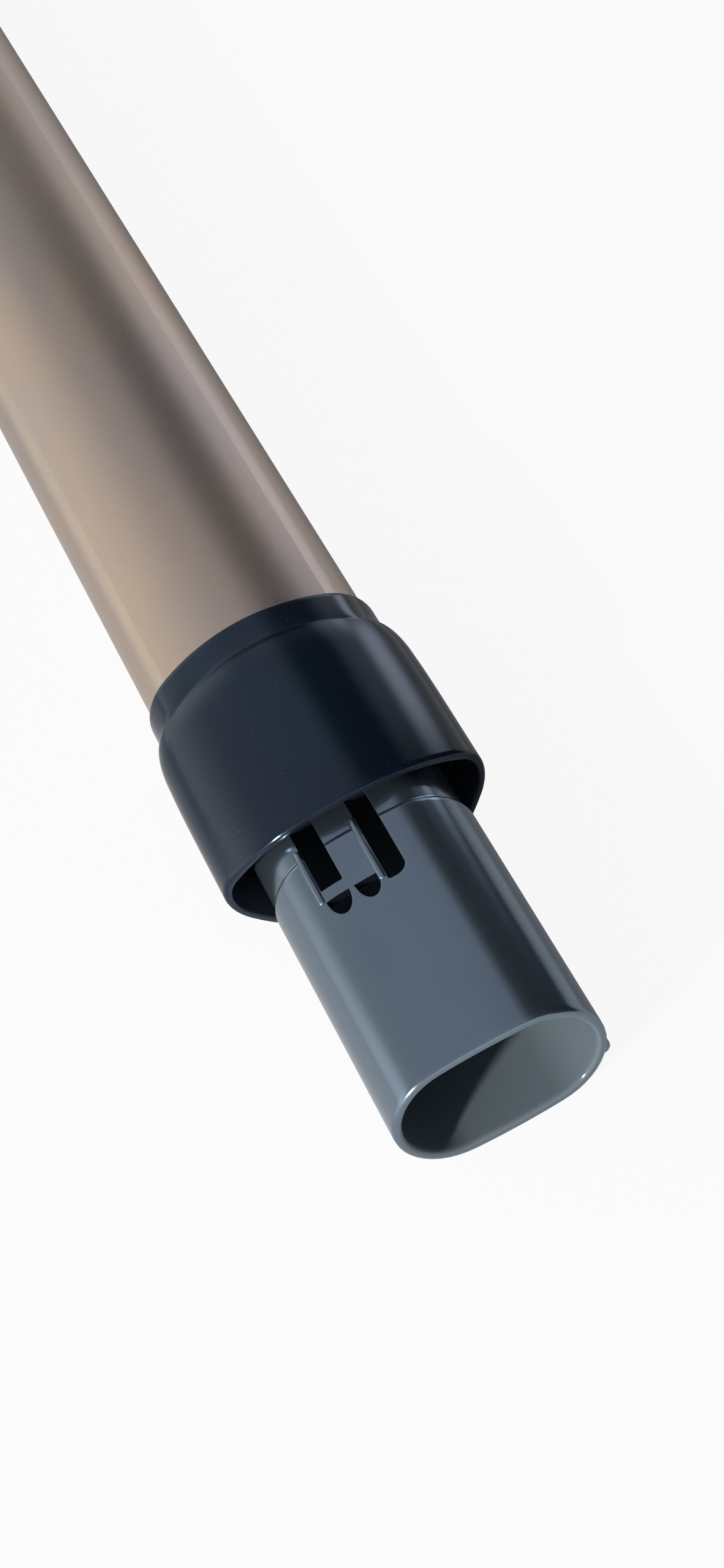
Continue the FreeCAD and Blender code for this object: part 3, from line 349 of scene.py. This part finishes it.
def moulded(name, deep, pale, roughness, metallic=0.0, level=0.5, tint=(1, 1, 1), inside=None, cut=None,
            duller=0.0):
    """Moulded plastic: a body colour that drifts a little, fine texture and a slight mould ripple."""
    material, start = new_material(name)
    cloud = start.noise(30, 3.0, 0.5, (2, 1, 1))
    fine = start.noise(3000, 2.0, 0.6)
    wave = start.noise(60, 2.0, 0.5)
    colour = cloud.step(0.38, 0.66).blend(deep, pale)
    flecks = start.noise(2600, 0.0, 0.5).step(0.78, 0.83) * start.noise(90, 1.0, 0.5).step(0.52, 0.66)
    colour = (flecks * 0.12).blend(colour, rgb(0.45, 0.47, 0.5))
    rough = roughness + (fine - 0.5) * 0.05 + (wave - 0.5) * 0.04 + flecks * 0.15
    # Inner walls take the inside colour and walls that face across take the cut colour. On the spigot these
    # are painted shade that darkens its bore and its slots.
    if inside:
        facing = start.outward()
        past_lip = start.coordinate(0).step(MOUTH_X - LIP_END, MOUTH_X - LIP_END - LIP_FADE)
        inner = start.maths("MAXIMUM", facing.step(-0.1, -0.4), facing.step(0.45, 0.3) * past_lip)
        colour = inner.blend(colour, facing.step(-0.4, -0.1).blend(inside, cut))
        metallic = (1 - inner) * metallic
        rough = rough + inner * duller
    softened = start.make("ShaderNodeBevel", {"samples": 4}, {"Radius": BROKEN_EDGE})
    bump = start.make("ShaderNodeBump", {}, {"Strength": 0.12, "Distance": 0.06 * MM,
                                             "Height": fine * 0.3 + wave * 0.7, "Normal": softened})
    close_surface(start, {"Base Color": colour, "Metallic": metallic, "Roughness": rough, "Normal": bump,
                          "Specular IOR Level": level, "Specular Tint": rgb(*tint)})
    return material


# %% [markdown]
# Rubber and felt scatter light in all directions, so they are matt with a nap. Steel wire and sheet are
# metal with a fine grain.


# %% Rubber, felt and steel
def soft(name, colour, lighter, scale, depth, sheen=0.0):
    """Rubber or felt: a matt body with a fibrous or pebbled surface."""
    material, start = new_material(name)
    nap = start.noise(scale, 4.0, 0.7)
    tint = nap.step(0.35, 0.7).blend(colour, lighter)
    bump = start.make("ShaderNodeBump", {}, {"Strength": 0.5, "Distance": depth, "Height": nap})
    close_surface(start, {"Base Color": tint, "Sheen Weight": sheen, "Normal": bump,
                          "Roughness": 0.75 + (nap - 0.5) * 0.2})
    return material


def steel(name, colour, roughness):
    """Drawn or plated steel with a fine grain and slightly duller patches."""
    material, start = new_material(name)
    grain = start.noise(2500, 2.0, 0.6)
    dull = start.noise(400, 2.0, 0.5)
    tint = dull.step(0.4, 0.7).blend(colour, tuple(v * 0.82 for v in colour[:3]) + (1.0,))
    bump = start.make("ShaderNodeBump", {}, {"Strength": 0.2, "Distance": 0.02 * MM, "Height": grain})
    close_surface(start, {"Base Color": tint, "Metallic": 1.0, "Normal": bump,
                          "Roughness": roughness + (grain - 0.5) * 0.15})
    return material


# %% [markdown]
# ## Which finish goes on which slot
#
# The record names a material slot for every node, so the finishes are assigned by slot.

# %% The plastics
finish = {
    "spigot_plastic": moulded(
        "spigot_plastic", rgb(0.19, 0.25, 0.31), rgb(0.21, 0.28, 0.34), 0.17, metallic=0.9,
        # inside: the bore's duller core side, also darker as painted shade; cut: painted shade, near black,
        # on the walls of the slots and holes
        inside=rgb(0.10, 0.13, 0.155), cut=rgb(0.006, 0.008, 0.014), duller=-0.05),
    "collar_plastic": moulded(
        "collar_plastic", rgb(0.004, 0.007, 0.016), rgb(0.004, 0.010, 0.020), 0.12, level=0.55,
        tint=(0.6, 0.82, 1.0), inside=rgb(0.03, 0.034, 0.048), cut=rgb(0.012, 0.016, 0.028)),
    "housing_plastic": moulded(
        "housing_plastic", rgb(0.006, 0.009, 0.019), rgb(0.006, 0.012, 0.023), 0.16, level=0.55,
        tint=(0.72, 0.88, 1.0)),
    "slider_plastic": moulded("slider_plastic", rgb(0.10, 0.11, 0.13), rgb(0.13, 0.14, 0.16), 0.38),
    "bush_plastic": moulded("bush_plastic", rgb(0.72, 0.72, 0.69), rgb(0.78, 0.78, 0.75), 0.4),
}

# %% The metals, rubbers and felt
finish.update({
    "anodised_champagne": anodised("anodised_champagne", rgb(0.66, 0.53, 0.42), rgb(0.58, 0.50, 0.45), 0.3),
    "anodised_inner": anodised("anodised_inner", rgb(0.70, 0.62, 0.54), rgb(0.66, 0.62, 0.58), 0.26),
    "steel": steel("steel", rgb(0.64, 0.65, 0.66), 0.28),
    "spring_steel": steel("spring_steel", rgb(0.6, 0.6, 0.62), 0.22),
    "grip_rubber": soft("grip_rubber", rgb(0.03, 0.03, 0.034), rgb(0.05, 0.05, 0.055), 2500, 0.04 * MM),
    "seal_rubber": soft("seal_rubber", rgb(0.02, 0.02, 0.02), rgb(0.035, 0.035, 0.035), 1800, 0.03 * MM),
    "felt": soft("felt", rgb(0.07, 0.07, 0.08), rgb(0.16, 0.16, 0.17), 3500, 0.2 * MM, sheen=0.4),
})

# %% Assign by slot
for subpart in frame["record"]["subparts"]:
    node = nodes[subpart["node"]]
    if not node.material_slots:
        node.data.materials.append(None)
    for place in node.material_slots:
        place.material = finish[subpart["material_slot"]]
print("finishes:", len(finish))

# %% [markdown]
# ## Drawing ovals
#
# Every piece of the wand has the same kind of section: an oval of four arcs, two broad and two narrow.
# A single vertex is spun about the centre of each arc in turn, which draws the oval exactly. Rings at
# different stations are then bridged, as a carpenter planks a boat over its ribs. The alternative, a
# scaled cylinder, would give an ellipse, whose walls change thickness round the ring.

# %% Places and sections
BROAD_STEPS = 26
END_STEPS = 22
RING_POINTS = 2 * (BROAD_STEPS + END_STEPS)


def at(station, y=0.0, height=0.0):
    """Point in metres at a distance in mm from the mouth, across the width and up from the axis."""
    return Vector((MOUTH_X / MM - station, y, AXIS_Z / MM + height)) * MM


def grown(section, by):
    """The same oval, offset outwards by a distance in mm."""
    return tuple(size + by for size in section)


def broad_radius(section):
    """Radius of an oval's broad arcs, which run into its narrow arcs without a corner."""
    half_width, half_height, end_radius = section
    reach = half_width - end_radius
    return (reach ** 2 + half_height ** 2 - end_radius ** 2) / (2 * (half_height - end_radius))


print("points in a ring:", RING_POINTS)


# %% One ring from four spins
def draw_ring(station, section):
    """Draws an oval of (half width, half height, end radius) in edit mode, across the wand."""
    half_width, half_height, end_radius = section
    reach = half_width - end_radius
    broad = broad_radius(section)
    drop = broad - half_height
    turn = math.atan2(drop, reach)
    bpy.ops.mesh.select_all(action="DESELECT")
    first = at(station, broad * math.cos(turn), broad * math.sin(turn) - drop)
    bpy.ops.mesh.primitive_plane_add(size=0.001, location=first)
    bpy.ops.mesh.merge(type="CENTER")
    arcs = [((0, -drop), math.pi - 2 * turn, BROAD_STEPS), ((-reach, 0), 2 * turn, END_STEPS),
            ((0, drop), math.pi - 2 * turn, BROAD_STEPS), ((reach, 0), 2 * turn, END_STEPS)]
    for (y, z), angle, steps in arcs:
        bpy.ops.mesh.spin(steps=steps, angle=-angle, center=at(station, y, z), axis=(1, 0, 0))


# %% Rings bridged into a closed wall
def planked(name, profile):
    """A closed wall through rings given as (station, section), once round from inside to outside."""
    bpy.ops.object.select_all(action="DESELECT")
    mesh = bpy.data.meshes.new(name)
    piece = bpy.data.objects.new(name, mesh)
    bpy.context.scene.collection.objects.link(piece)
    bpy.context.view_layer.objects.active = piece
    piece.select_set(True)
    bpy.ops.object.mode_set(mode="EDIT")
    for station, section in profile:
        draw_ring(station, section)
    bpy.ops.mesh.select_all(action="SELECT")
    bpy.ops.mesh.remove_doubles(threshold=0.002 * MM)
    bpy.ops.object.mode_set(mode="OBJECT")
    rings = len(profile)
    points = len(mesh.vertices)
    assert points == rings * RING_POINTS, (name, points, rings * RING_POINTS)
    for i in range(rings):
        chosen = {i, (i + 1) % rings}
        mesh.vertices.foreach_set("select", [v // RING_POINTS in chosen for v in range(points)])
        mesh.edges.foreach_set("select", [False] * len(mesh.edges))
        mesh.polygons.foreach_set("select", [False] * len(mesh.polygons))
        bpy.ops.object.mode_set(mode="EDIT")
        bpy.ops.mesh.select_mode(type="VERT")
        bpy.ops.mesh.bridge_edge_loops()
        bpy.ops.object.mode_set(mode="OBJECT")
    bpy.ops.object.mode_set(mode="EDIT")
    bpy.ops.mesh.select_all(action="SELECT")
    bpy.ops.mesh.normals_make_consistent(inside=False)
    bpy.ops.object.mode_set(mode="OBJECT")
    return piece


# %% Finishing a piece
def finished(piece, body, slot, *replaced, angle=35):
    """Smooth shading, the slot's finish, the body it rides on and the CAD node it stands for."""
    bpy.ops.object.select_all(action="DESELECT")
    bpy.context.view_layer.objects.active = piece
    piece.select_set(True)
    bpy.ops.object.shade_smooth_by_angle(angle=math.radians(angle))
    piece.data.materials.clear()
    piece.data.materials.append(finish[slot])
    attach(piece, body)
    if replaced:
        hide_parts(*replaced)
    shape = bmesh.new()
    shape.from_mesh(piece.data)
    gaps = sum(1 for edge in shape.edges if not edge.is_manifold)
    volume = round(shape.calc_volume(signed=True) / MM ** 3)
    shape.free()
    print(piece.name, "faces:", len(piece.data.polygons), "open edges:", gaps, "volume:", volume, "mm3")


# %% [markdown]
# ## The collar
#
# The collar is one moulding: a low neck that hugs the tube, a swept shoulder and a skirt that stands off
# the spigot. Every edge is broken by a small radius, because a mould can't fill a sharp corner and a
# thumb wouldn't like one. The rings run from the bore over the neck and the shoulder to the rim and back
# inside to the recess floor. A pair of close rings beside each rounded edge keeps the wall flat up to it.

# %% Sizes of the collar
TUBE = (24.2, 15.4, 12.0)
NECK = grown(TUBE, 1.2)
SKIRT = (28.02, 16.95, 9.0)
BORE = grown(TUBE, 0.05)
COLLAR_END = 118.5
NECK_FOOT = 113.4
SHOULDER_FOOT = 110.0
SHOULDER_DEPTH = 9.0
RECESS_FLOOR = 78.0
RIM = 68.8
RIM_BOW = 5.6


def between(share):
    """An oval on the way from the neck to the skirt."""
    return tuple(low + (high - low) * share for low, high in zip(NECK, SKIRT))


# %% Neck and shoulder
profile = [(RECESS_FLOOR, BORE), (COLLAR_END - 0.1, BORE), (COLLAR_END, grown(NECK, -0.55)),
           (COLLAR_END - 0.1, grown(NECK, -0.25)), (COLLAR_END - 0.3, grown(NECK, -0.07)),
           (COLLAR_END - 0.6, NECK), (COLLAR_END - 1.2, NECK), (NECK_FOOT, NECK)]
profile += [(112.6, between(0.01)), (111.9, between(0.03)), (111.3, between(0.06)),
            (110.8, between(0.1)), (110.4, between(0.15)), (110.15, between(0.2))]
for i in range(1, 13):
    turn = i / 12 * math.pi / 2
    station = SHOULDER_FOOT - SHOULDER_DEPTH * (1 - math.cos(turn))
    profile.append((station, between(0.26 + 0.66 * math.sin(turn))))
profile += [(98.0, between(0.96)), (94.5, between(0.985)), (90.0, SKIRT), (84.0, SKIRT), (76.0, SKIRT)]
print("rings up to the skirt:", len(profile))

# %% [markdown]
# The skirt's rim bows towards the mouth. Blender's bend needs a window, so the rim's rings are drawn
# flat and their vertices are then moved along the wand, by the height of a circle's arc at their place
# across.

# %% Rim, bow and collar
rim_first = len(profile)
for back, sink in [(1.2, 0.0), (0.6, 0.0), (0.3, 0.07), (0.1, 0.22), (0.0, 0.45), (0.0, 1.2),
                   (0.12, 1.45), (0.4, 1.6), (1.0, 1.6)]:
    profile.append((RIM + back, grown(SKIRT, -sink)))
rim_rings = range(rim_first, len(profile))
profile += [(RECESS_FLOOR - 0.3, grown(SKIRT, -1.6)), (RECESS_FLOOR, grown(SKIRT, -1.9))]
collar = planked("collar", profile)
bow_radius = (SKIRT[0] ** 2 + RIM_BOW ** 2) / (2 * RIM_BOW) * MM
for v in collar.data.vertices:
    if v.index // RING_POINTS in rim_rings:
        v.co.x += math.sqrt(bow_radius ** 2 - v.co.y ** 2) - (bow_radius - RIM_BOW * MM)
finished(collar, "outer", "collar_plastic", "lower_collar")

# %% [markdown]
# ## The spigot
#
# The spigot is the plug that goes into the floor head. Its mouth has a soft lip, and its wall steps down
# to a lower root under the collar, with a shank inside the tube behind it. The wall is planked from rings
# like the collar, and the latch's slots are then cut with solids of their exact shape, because holes
# through a curved wall are cleanest as a Boolean.

# %% Spigot wall
SPIGOT = (21.1, 13.5, 13.2)
ROOT = grown(SPIGOT, -0.7)
SPIGOT_BORE = grown(SPIGOT, -2.0)
STEP = 58.5
SHANK = grown(TUBE, -1.05)
SHANK_BORE = grown(SHANK, -1.8)
SHANK_START = 84.0
SHANK_END = 116.0
profile = [(RECESS_FLOOR, SPIGOT_BORE), (1.8, SPIGOT_BORE), (1.1, SPIGOT_BORE)]
for i in range(9):
    turn = math.pi * i / 8
    profile.append((0.9 * (1 - math.sin(turn) ** 0.8), grown(SPIGOT, -1.0 - 0.98 * math.cos(turn))))
profile += [(1.1, SPIGOT), (1.8, SPIGOT), (STEP - 1.4, SPIGOT), (STEP - 0.7, SPIGOT),
            (STEP - 0.35, grown(SPIGOT, -0.08)), (STEP - 0.1, grown(SPIGOT, -0.28)),
            (STEP, grown(SPIGOT, -0.6)), (STEP + 0.2, ROOT), (STEP + 0.8, ROOT), (RECESS_FLOOR - 0.2, ROOT)]
profile += [(RECESS_FLOOR, TUBE), (SHANK_START, TUBE), (SHANK_START, SHANK), (SHANK_END, SHANK),
            (SHANK_END, SHANK_BORE), (SHANK_START, SHANK_BORE)]
spigot = planked("spigot_wall", profile)
print("spigot wall:", len(spigot.data.polygons), "faces")

# %% [markdown]
# The latch cuts are a short slot, a long slot with one well rounded corner and two half-moon holes. Their
# cutters are a bevelled block, and a cylinder with one side bisected away and the rest stretched.

# %% Cutters for the latch
CUT_LOW = 6.5
CUT_HIGH = 16.5
CATCH_STATION = 46.0
CATCH_WIDTH = 4.9
CATCH_DEPTH = 4.7


def slot_block(start, end, low, high):
    """A box through the upper wall between two stations and two places across, in mm."""
    bpy.ops.object.select_all(action="DESELECT")
    centre = at((start + end) / 2, (low + high) / 2, (CUT_LOW + CUT_HIGH) / 2)
    bpy.ops.mesh.primitive_cube_add(size=1, location=centre)
    made = bpy.context.object
    made.scale = ((end - start) * MM, (high - low) * MM, (CUT_HIGH - CUT_LOW) * MM)
    bpy.ops.object.transform_apply(location=True, rotation=True, scale=True)
    return made


def round_upright_edge(piece, station, y, radius):
    """Bevels the one upright edge that stands at a station and a place across."""
    bpy.ops.object.mode_set(mode="EDIT")
    bpy.ops.mesh.select_mode(type="EDGE")
    bpy.ops.mesh.select_all(action="DESELECT")
    shape = bmesh.from_edit_mesh(piece.data)
    corner = at(station, y)
    for edge in shape.edges:
        edge.select_set(all((v.co.xy - corner.xy).length < 0.01 * MM for v in edge.verts))
    bmesh.update_edit_mesh(piece.data)
    bpy.ops.mesh.bevel(offset=radius * MM, segments=8, affect="EDGES")
    bpy.ops.object.mode_set(mode="OBJECT")


def half_moon(y):
    """Half a cylinder, cut along its middle and stretched to its depth towards the mouth."""
    bpy.ops.object.select_all(action="DESELECT")
    centre = at(CATCH_STATION, y, (CUT_LOW + CUT_HIGH) / 2)
    bpy.ops.mesh.primitive_cylinder_add(vertices=56, radius=CATCH_WIDTH / 2 * MM,
                                        depth=(CUT_HIGH - CUT_LOW) * MM, location=centre)
    made = bpy.context.object
    made.scale.x = 2 * CATCH_DEPTH / CATCH_WIDTH
    bpy.ops.object.transform_apply(location=True, rotation=True, scale=True)
    bpy.ops.object.mode_set(mode="EDIT")
    bpy.ops.mesh.select_all(action="SELECT")
    bpy.ops.mesh.bisect(plane_co=at(CATCH_STATION), plane_no=(1, 0, 0), use_fill=True, clear_inner=True)
    bpy.ops.object.mode_set(mode="OBJECT")
    return made


# %% Cut the slots
SLOT_ROOT = 66.0
SLOTS = [(48.8, -11.35, -6.65, 0.4, 0.4), (43.2, 0.6, 4.9, 0.6, 2.7)]
CATCHES = [-9.0, -3.0]
cutters = []
for station, low, high, low_radius, high_radius in SLOTS:
    cutter = slot_block(station, SLOT_ROOT, low, high)
    round_upright_edge(cutter, station, low, low_radius)
    round_upright_edge(cutter, station, high, high_radius)
    cutters.append(cutter)
cutters += [half_moon(y) for y in CATCHES]
for cutter in cutters:
    cut = spigot.modifiers.new("latch_cut", "BOOLEAN")
    cut.operation = "DIFFERENCE"
    cut.solver = "EXACT"
    cut.object = cutter
    bpy.ops.object.select_all(action="DESELECT")
    bpy.context.view_layer.objects.active = spigot
    spigot.select_set(True)
    bpy.ops.object.modifier_apply(modifier=cut.name)
    bpy.data.objects.remove(cutter)
finished(spigot, "outer", "spigot_plastic", "spigot")

# %% [markdown]
# ## Ridges and guide rib
#
# The slots' left edges carry small rounded ridges that guide the catches, and a half-round rib runs along
# the plug's right end and keys it in the floor head. All three are bars with rounded ends that sink into
# the wall. They could be joined to it by a Boolean, but a bar that is only sunk in keeps the wall's faces
# clean and looks the same.


# %% A sunk bar
def sunk_bar(name, start, end, y, height, radius, rounding):
    """A round bar along the wand with rounded ends, all sizes in mm."""
    bpy.ops.object.select_all(action="DESELECT")
    centre = at((start + end) / 2, y, height)
    bpy.ops.mesh.primitive_cylinder_add(vertices=40, radius=radius * MM, depth=(end - start) * MM,
                                        location=centre, rotation=(0, math.pi / 2, 0))
    made = bpy.context.object
    made.name = name
    bpy.ops.object.transform_apply(location=True, rotation=True, scale=True)
    bevel = made.modifiers.new("rounding", "BEVEL")
    bevel.width = rounding * MM
    bevel.segments = 5
    bevel.angle_limit = math.radians(50)
    bpy.ops.object.modifier_apply(modifier=bevel.name)
    return made


def spigot_top(y):
    """Height of the spigot's upper face over the axis at a place across, in mm."""
    half_width, half_height, end_radius = SPIGOT
    reach = half_width - end_radius
    broad = broad_radius(SPIGOT)
    if abs(y) > reach * broad / (broad - end_radius):
        return math.sqrt(end_radius ** 2 - (abs(y) - reach) ** 2)
    return math.sqrt(broad ** 2 - y ** 2) - broad + half_height


# %% Ridges and rib
RIDGE_RADIUS = 0.85
RIDGE_SUNK = 0.55
RIDGE_END = 60.6
RIB_RADIUS = 1.6
RIB_TURN = math.radians(-28)
for name, y, start in (("ridge_short_slot", -12.0, 46.2), ("ridge_long_slot", -0.1, 44.0)):
    ridge = sunk_bar(name, start, RIDGE_END, y, spigot_top(y) - RIDGE_SUNK, RIDGE_RADIUS, 0.4)
    finished(ridge, "outer", "spigot_plastic")
rib_reach = SPIGOT[2] - 0.3
rib_y = SPIGOT[0] - SPIGOT[2] + rib_reach * math.cos(RIB_TURN)
rib = sunk_bar("guide_rib", 0.9, RECESS_FLOOR - 0.1, rib_y, rib_reach * math.sin(RIB_TURN), RIB_RADIUS, 0.7)
finished(rib, "outer", "spigot_plastic")

# %% [markdown]
# ## Two coil springs
#
# Two small coil springs return the thumb slider and the latch button. A coil gets shorter when its seat
# moves, but each spring here is a merged copy of the solid as it stands, and doesn't shorten.


# %% A merged copy of a spring
def shortening(name, node_name, body):
    """A merged copy of a spring, which stands for its CAD node on the body it rides with."""
    mesh = nodes[node_name].data.copy()
    piece = bpy.data.objects.new(name, mesh)
    bpy.context.scene.collection.objects.link(piece)
    bpy.ops.object.select_all(action="DESELECT")
    bpy.context.view_layer.objects.active = piece
    piece.select_set(True)
    bpy.ops.object.mode_set(mode="EDIT")
    bpy.ops.mesh.select_all(action="SELECT")
    bpy.ops.mesh.remove_doubles(threshold=0.001 * MM)
    bpy.ops.mesh.normals_make_consistent(inside=False)
    bpy.ops.object.mode_set(mode="OBJECT")
    finished(piece, body, "spring_steel", node_name, angle=60)
    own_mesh(piece)


# %% The two springs
low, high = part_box("slider_spring")
shortening("slider_coil", "slider_spring", "outer")
low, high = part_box("latch_spring")
shortening("latch_coil", "latch_spring", "inner")
